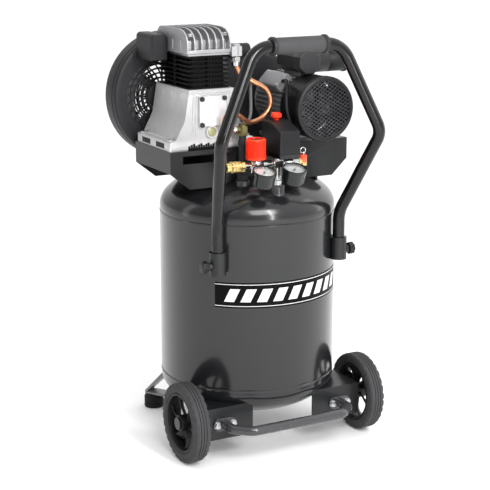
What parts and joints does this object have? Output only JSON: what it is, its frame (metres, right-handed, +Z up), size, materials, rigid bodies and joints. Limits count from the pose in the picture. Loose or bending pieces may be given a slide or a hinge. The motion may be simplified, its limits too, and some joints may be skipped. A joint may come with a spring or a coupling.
{
  "type": "belt-driven air compressor",
  "caption": "Upright air tank on wheels and rear feet carrying an electric motor that drives a piston pump by a guarded belt, with a pressure switch, regulator, gauges and a push handle.",
  "frame": {"origin": "on the floor, under the middle of the box around the whole object", "axes": "+Z up along the tank axis; -Y towards the push handle, the gauges and the wheels; +Y towards the belt guard and the rear feet; +X to the motor side"},
  "size_m": [0.4846, 0.4678, 0.874],
  "materials": {
    "tank_paint": "gloss",
    "chassis_paint": "gloss",
    "handle_paint": "gloss",
    "feet_rubber": "matte",
    "bolt_steel": "satin",
    "fitting_brass": "satin",
    "nickel_plate": "satin",
    "tyre": "matte",
    "rim_plastic": "satin",
    "cast_aluminium": "cast",
    "sight_glass": "gloss",
    "black_plastic": "satin",
    "black_iron": "satin",
    "machined_steel": "satin",
    "grey_iron": "cast",
    "belt_rubber": "matte",
    "guard_plastic": "satin",
    "cover_metal": "satin",
    "copper": "satin",
    "tube_plastic": "satin",
    "cable_sheath": "satin",
    "red_plastic": "gloss",
    "gauge_steel": "gloss",
    "gauge_glass": "gloss",
    "needle_paint": "matte",
    "grip_rubber": "matte"
  },
  "bodies": {
    "frame": {"tank": "tank_paint", "platform": "tank_paint", "axle_brackets": "chassis_paint", "rear_legs": "tank_paint", "rear_feet": "feet_rubber", "handle_clamps": "tank_paint", "foot_bar": "chassis_paint", "fasteners": "bolt_steel", "drain_valve": "fitting_brass", "crankcase": "cast_aluminium", "crankcase_cover": "cast_aluminium", "sight_glass": "sight_glass", "cylinder_block": "black_iron", "valve_plate": "nickel_plate", "cylinder_head": "cast_aluminium", "air_filter": "black_plastic", "bearings": "machined_steel", "drive_belt": "belt_rubber", "guard_back": "guard_plastic", "guard_front": "guard_plastic", "motor_frame": "cast_aluminium", "end_shields": "cast_aluminium", "fan_cowl": "black_plastic", "terminal_cover": "cover_metal", "terminal_box": "black_plastic", "capacitor_can": "black_plastic", "delivery_pipe": "copper", "check_valve": "fitting_brass", "breather_tube": "tube_plastic", "unloader_tube": "tube_plastic", "motor_cable": "cable_sheath", "switch_body": "black_plastic", "manifold": "nickel_plate", "regulator_body": "nickel_plate", "outlet_coupling": "fitting_brass", "gauge_bodies": "gauge_steel", "gauge_lenses": "gauge_glass", "safety_valve": "red_plastic"},
    "left_wheel": {"left_tyre": "tyre", "left_rim": "rim_plastic"},
    "right_wheel": {"right_tyre": "tyre", "right_rim": "rim_plastic"},
    "crank": {"crankshaft": "machined_steel", "flywheel": "grey_iron"},
    "motor_spindle": {"rotor": "machined_steel", "cooling_fan": "black_plastic", "motor_pulley": "grey_iron"},
    "front_piston_body": {"front_piston": "cast_aluminium"},
    "rear_piston_body": {"rear_piston": "cast_aluminium"},
    "oil_cap": {"filler_cap": "black_plastic"},
    "drain_handle": {"drain_knob": "nickel_plate"},
    "switch_button": {"switch_knob": "red_plastic"},
    "regulator_handle": {"regulator_knob": "red_plastic"},
    "left_pointer": {"left_needle": "needle_paint"},
    "right_pointer": {"right_needle": "needle_paint"},
    "relief_ring": {"safety_ring": "nickel_plate"},
    "handle": {"handle_tube": "handle_paint", "handle_grip": "grip_rubber"},
    "left_knob": {"left_clamp_knob": "black_plastic"},
    "right_knob": {"right_clamp_knob": "black_plastic"}
  },
  "joints": [
    {"name": "left_wheel_spin", "type": "hinge", "parent": "frame", "child": "left_wheel", "pos_m": [-0.1938, -0.11521, 0.0825], "axis": [1, 0, 0], "continuous": true},
    {"name": "right_wheel_spin", "type": "hinge", "parent": "frame", "child": "right_wheel", "pos_m": [0.2212, -0.11521, 0.0825], "axis": [1, 0, 0], "continuous": true},
    {"name": "crank_spin", "type": "hinge", "parent": "frame", "child": "crank", "pos_m": [-0.1043, 0.02779, 0.71], "axis": [0, 1, 0], "continuous": true},
    {"name": "motor_spin", "type": "hinge", "parent": "frame", "child": "motor_spindle", "pos_m": [0.1217, 0.00779, 0.707], "axis": [0, 1, 0], "continuous": true},
    {"name": "front_piston_slide", "type": "slide", "parent": "frame", "child": "front_piston_body", "axis": [0, 0, 1], "range_m": [0, 0.04]},
    {"name": "rear_piston_slide", "type": "slide", "parent": "frame", "child": "rear_piston_body", "axis": [0, 0, 1], "range_m": [-0.04, 0]},
    {"name": "oil_cap_turn", "type": "hinge", "parent": "frame", "child": "oil_cap", "pos_m": [-0.0457, 0.04779, 0.706], "axis": [0.9863, 0, 0.165], "range_deg": [0, 360]},
    {"name": "drain_turn", "type": "hinge", "parent": "frame", "child": "drain_handle", "pos_m": [0.0137, 0.00779, 0.037], "axis": [0, 0, 1], "range_deg": [0, 360]},
    {"name": "switch_pull", "type": "slide", "parent": "frame", "child": "switch_button", "axis": [0, 0, 1], "range_m": [0, 0.008]},
    {"name": "regulator_turn", "type": "hinge", "parent": "frame", "child": "regulator_handle", "pos_m": [-0.0433, -0.13421, 0.64], "axis": [0, 0, 1], "range_deg": [0, 720]},
    {"name": "left_needle_turn", "type": "hinge", "parent": "frame", "child": "left_pointer", "pos_m": [-0.0467, -0.17621, 0.6], "axis": [0, -0.309, 0.9511], "range_deg": [-270, 0]},
    {"name": "right_needle_turn", "type": "hinge", "parent": "frame", "child": "right_pointer", "pos_m": [0.0223, -0.17621, 0.6], "axis": [0, -0.309, 0.9511], "range_deg": [-270, 0]},
    {"name": "relief_pull", "type": "slide", "parent": "frame", "child": "relief_ring", "axis": [0, 0, 1], "range_m": [0, 0.004]},
    {"name": "handle_slide", "type": "slide", "parent": "frame", "child": "handle", "axis": [0, 0, 1], "range_m": [0, 0.035]},
    {"name": "left_knob_turn", "type": "hinge", "parent": "frame", "child": "left_knob", "pos_m": [-0.1463, -0.13121, 0.409], "axis": [-1, 0, 0], "range_deg": [0, 720]},
    {"name": "right_knob_turn", "type": "hinge", "parent": "frame", "child": "right_knob", "pos_m": [0.1737, -0.13121, 0.409], "axis": [1, 0, 0], "range_deg": [0, 720]}
  ],
  "couplings": [
    {"joint": "motor_spin", "follows": "crank_spin", "ratio": 3.058},
    {"joint": "rear_piston_slide", "follows": "front_piston_slide", "ratio": -1}
  ]
}
